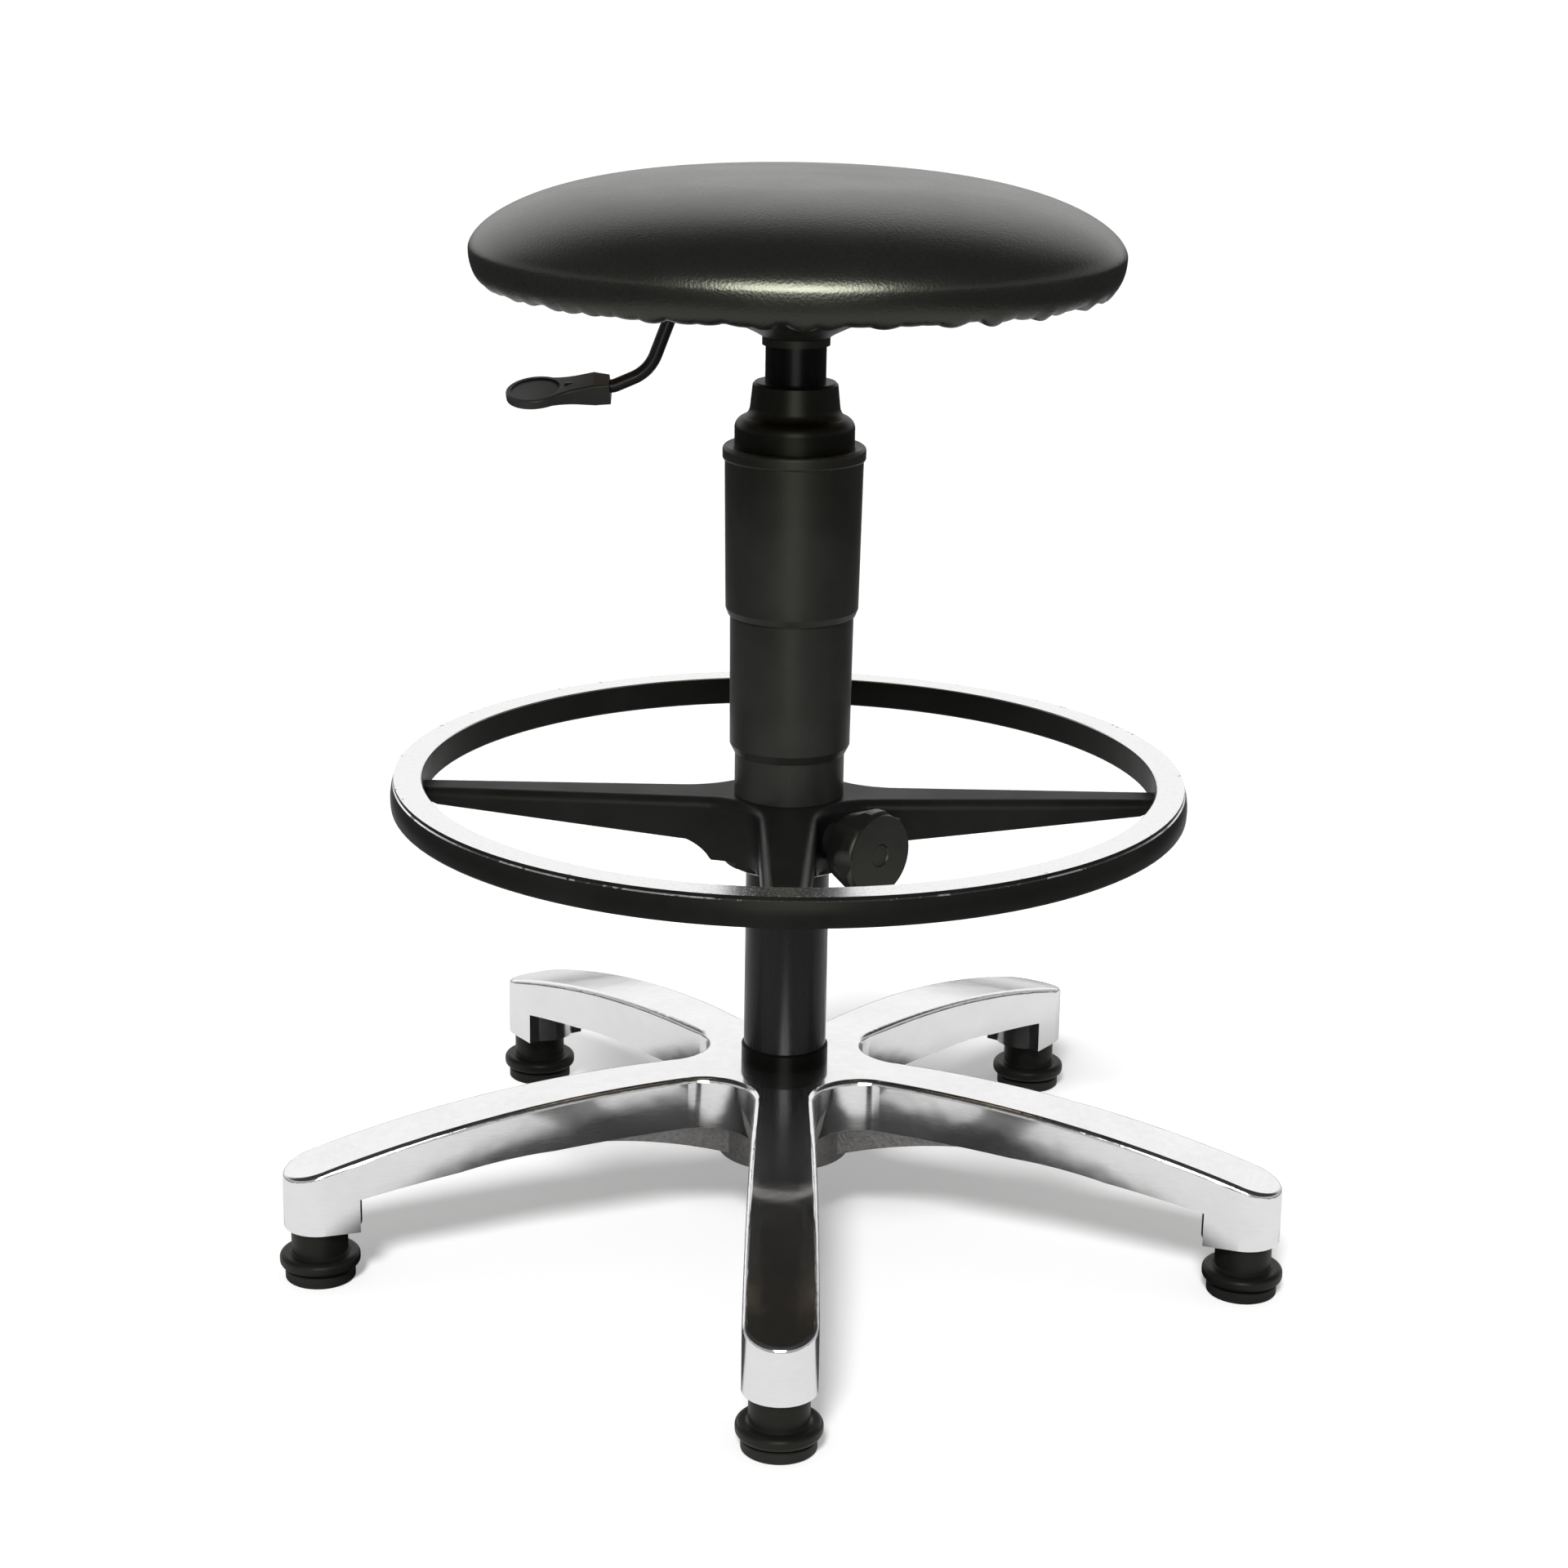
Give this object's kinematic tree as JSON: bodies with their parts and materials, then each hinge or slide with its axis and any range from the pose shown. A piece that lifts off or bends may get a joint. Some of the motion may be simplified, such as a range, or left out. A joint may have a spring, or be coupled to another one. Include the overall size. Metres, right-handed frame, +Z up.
{
  "type": "office stool",
  "caption": "Height-adjustable round stool with a padded seat, telescopic column, clamped foot ring and star base on fixed glides.",
  "frame": {"origin": "on the floor, on the column's axis", "axes": "+Z up along the column, the base's front arm along -Y, +X to the right seen from the front"},
  "size_m": [0.5954, 0.5686, 0.6435],
  "materials": {
    "polished_aluminium": "polished",
    "ring_casting": "black paint with a machined top face",
    "collar_plastic": "satin",
    "tube_steel": "satin black",
    "spacer_steel": "satin black",
    "carrier_steel": "black powder coat",
    "lever_steel": "black",
    "bright_steel": "zinc plated",
    "nylon": "natural",
    "rubber": "matte",
    "brass": "turned",
    "sleeve_plastic": "satin moulded",
    "cap_plastic": "satin moulded",
    "knob_plastic": "satin moulded",
    "paddle_plastic": "matte moulded",
    "glide_plastic": "satin moulded",
    "sole_plastic": "matte",
    "plywood": "birch plywood",
    "foam": "open foam",
    "leatherette": "fine grain, satin"
  },
  "bodies": {
    "base": {"base_star": "polished_aluminium", "base_collar": "collar_plastic", "glide_body_1": "glide_plastic", "glide_sole_1": "sole_plastic", "glide_stem_1": "bright_steel", "glide_body_2": "glide_plastic", "glide_sole_2": "sole_plastic", "glide_stem_2": "bright_steel", "glide_body_3": "glide_plastic", "glide_sole_3": "sole_plastic", "glide_stem_3": "bright_steel", "glide_body_4": "glide_plastic", "glide_sole_4": "sole_plastic", "glide_stem_4": "bright_steel", "glide_body_5": "glide_plastic", "glide_sole_5": "sole_plastic", "glide_stem_5": "bright_steel", "stand_tube": "tube_steel", "tube_bush": "nylon", "piston_rod": "bright_steel", "rod_clip": "bright_steel", "piston": "bright_steel", "lower_race": "bright_steel", "thrust_bearing": "bright_steel", "upper_race": "bright_steel", "bump_stop": "rubber", "lower_cover": "sleeve_plastic"},
    "ring_slider": {"ring_bush": "nylon"},
    "ring": {"foot_ring": "ring_casting", "screw_insert": "brass"},
    "clamp_slider": {"clamp_shoe": "nylon"},
    "knob": {"clamp_knob": "knob_plastic", "clamp_screw": "bright_steel"},
    "middle": {"middle_cover": "sleeve_plastic"},
    "lift": {"upper_cover": "sleeve_plastic", "cover_cap": "cap_plastic", "spacer_tube": "spacer_steel"},
    "seat": {"pressure_tube": "bright_steel", "tube_guide": "nylon", "valve_block": "bright_steel", "hub_sleeve": "carrier_steel", "seat_bell": "carrier_steel", "seat_plate": "carrier_steel", "lever_bracket": "carrier_steel", "lever_pin": "bright_steel", "seat_screws": "bright_steel", "seat_washers": "bright_steel", "tee_nuts": "bright_steel", "seat_board": "plywood", "seat_foam": "foam", "seat_cover": "leatherette"},
    "release": {"release_pin": "bright_steel"},
    "lever": {"lever_rod": "lever_steel", "lever_paddle": "paddle_plastic"}
  },
  "joints": [
    {"name": "ring_slide", "type": "slide", "parent": "base", "child": "ring_slider", "axis": [0, 0, 1], "range_m": [-0.11, 0]},
    {"name": "ring_turn", "type": "hinge", "parent": "ring_slider", "child": "ring", "pos_m": [0, 0, 0.256], "axis": [0, 0, 1], "continuous": true},
    {"name": "clamp_slide", "type": "slide", "parent": "ring", "child": "clamp_slider", "axis": [0.7034, -0.7108, 0], "range_m": [0, 0.0026]},
    {"name": "clamp_turn", "type": "hinge", "parent": "clamp_slider", "child": "knob", "pos_m": [0.0422, -0.04265, 0.2566], "axis": [0.7034, -0.7108, 0], "range_deg": [0, 720]},
    {"name": "lift_slide", "type": "slide", "parent": "base", "child": "lift", "axis": [0, 0, 1], "range_m": [-0.05, 0.11]},
    {"name": "cover_slide", "type": "slide", "parent": "base", "child": "middle", "axis": [0, 0, 1], "range_m": [-0.025, 0.055]},
    {"name": "seat_turn", "type": "hinge", "parent": "lift", "child": "seat", "pos_m": [0, 0, 0.56], "axis": [0, 0, 1], "continuous": true},
    {"name": "lever_tilt", "type": "hinge", "parent": "seat", "child": "lever", "pos_m": [-0.024, 0, 0.5717], "axis": [0, 1, 0], "range_deg": [0, 5], "stiffness_Nm_per_rad": 4, "springref_deg": -5.73},
    {"name": "release_slide", "type": "slide", "parent": "seat", "child": "release", "axis": [0, 0, 1], "range_m": [-0.0025, 0]}
  ],
  "couplings": [
    {"joint": "cover_slide", "follows": "lift_slide", "ratio": 0.5},
    {"joint": "clamp_slide", "follows": "clamp_turn", "m_per_rad": 0.00019894},
    {"joint": "release_slide", "follows": "lever_tilt", "m_per_rad": -0.026}
  ]
}
